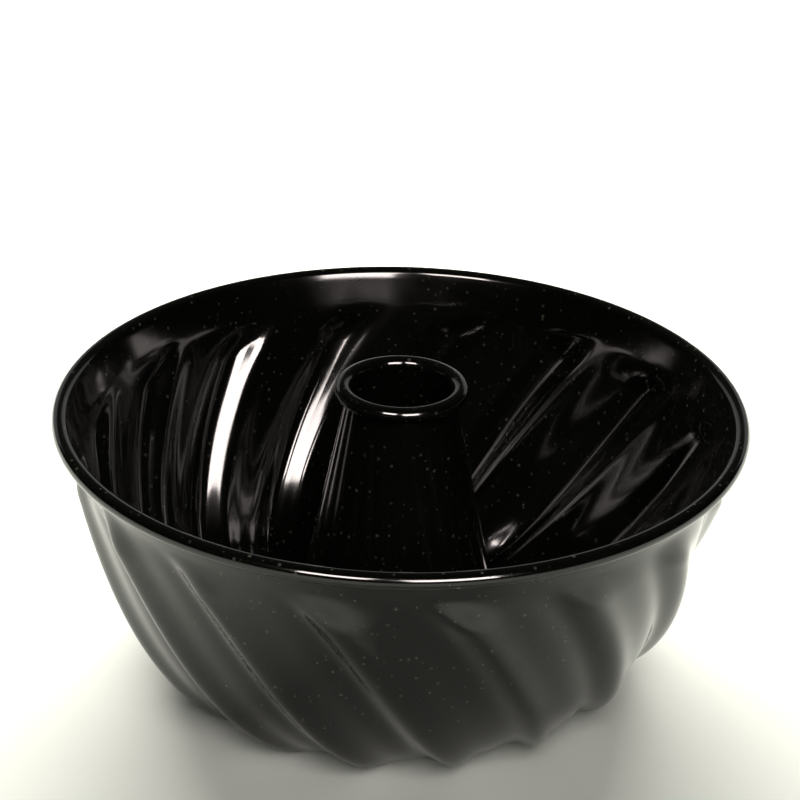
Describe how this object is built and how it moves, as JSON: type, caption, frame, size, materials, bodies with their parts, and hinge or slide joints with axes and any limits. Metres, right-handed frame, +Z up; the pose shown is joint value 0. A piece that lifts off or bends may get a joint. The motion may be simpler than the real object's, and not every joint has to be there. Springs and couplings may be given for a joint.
{
  "type": "bundt pan",
  "caption": "Round swirl-fluted cake pan in speckled black enamelled steel, with a wired rolled rim and an open conical chimney tube in the middle.",
  "frame": {"origin": "centre of the flat face that the pan stands on: the underside of the chimney tube's flange", "axes": "+Z up along the chimney's axis, mouth of the pan upwards; -Y is the front"},
  "size_m": [0.24, 0.24, 0.111],
  "materials": {
    "black_enamel": "gloss vitreous enamel with fine grey flecks",
    "rim_wire_steel": "drawn"
  },
  "bodies": {
    "root": {"fluted_bowl": "black_enamel", "chimney_tube": "black_enamel", "rim_wire": "rim_wire_steel"}
  },
  "joints": []
}
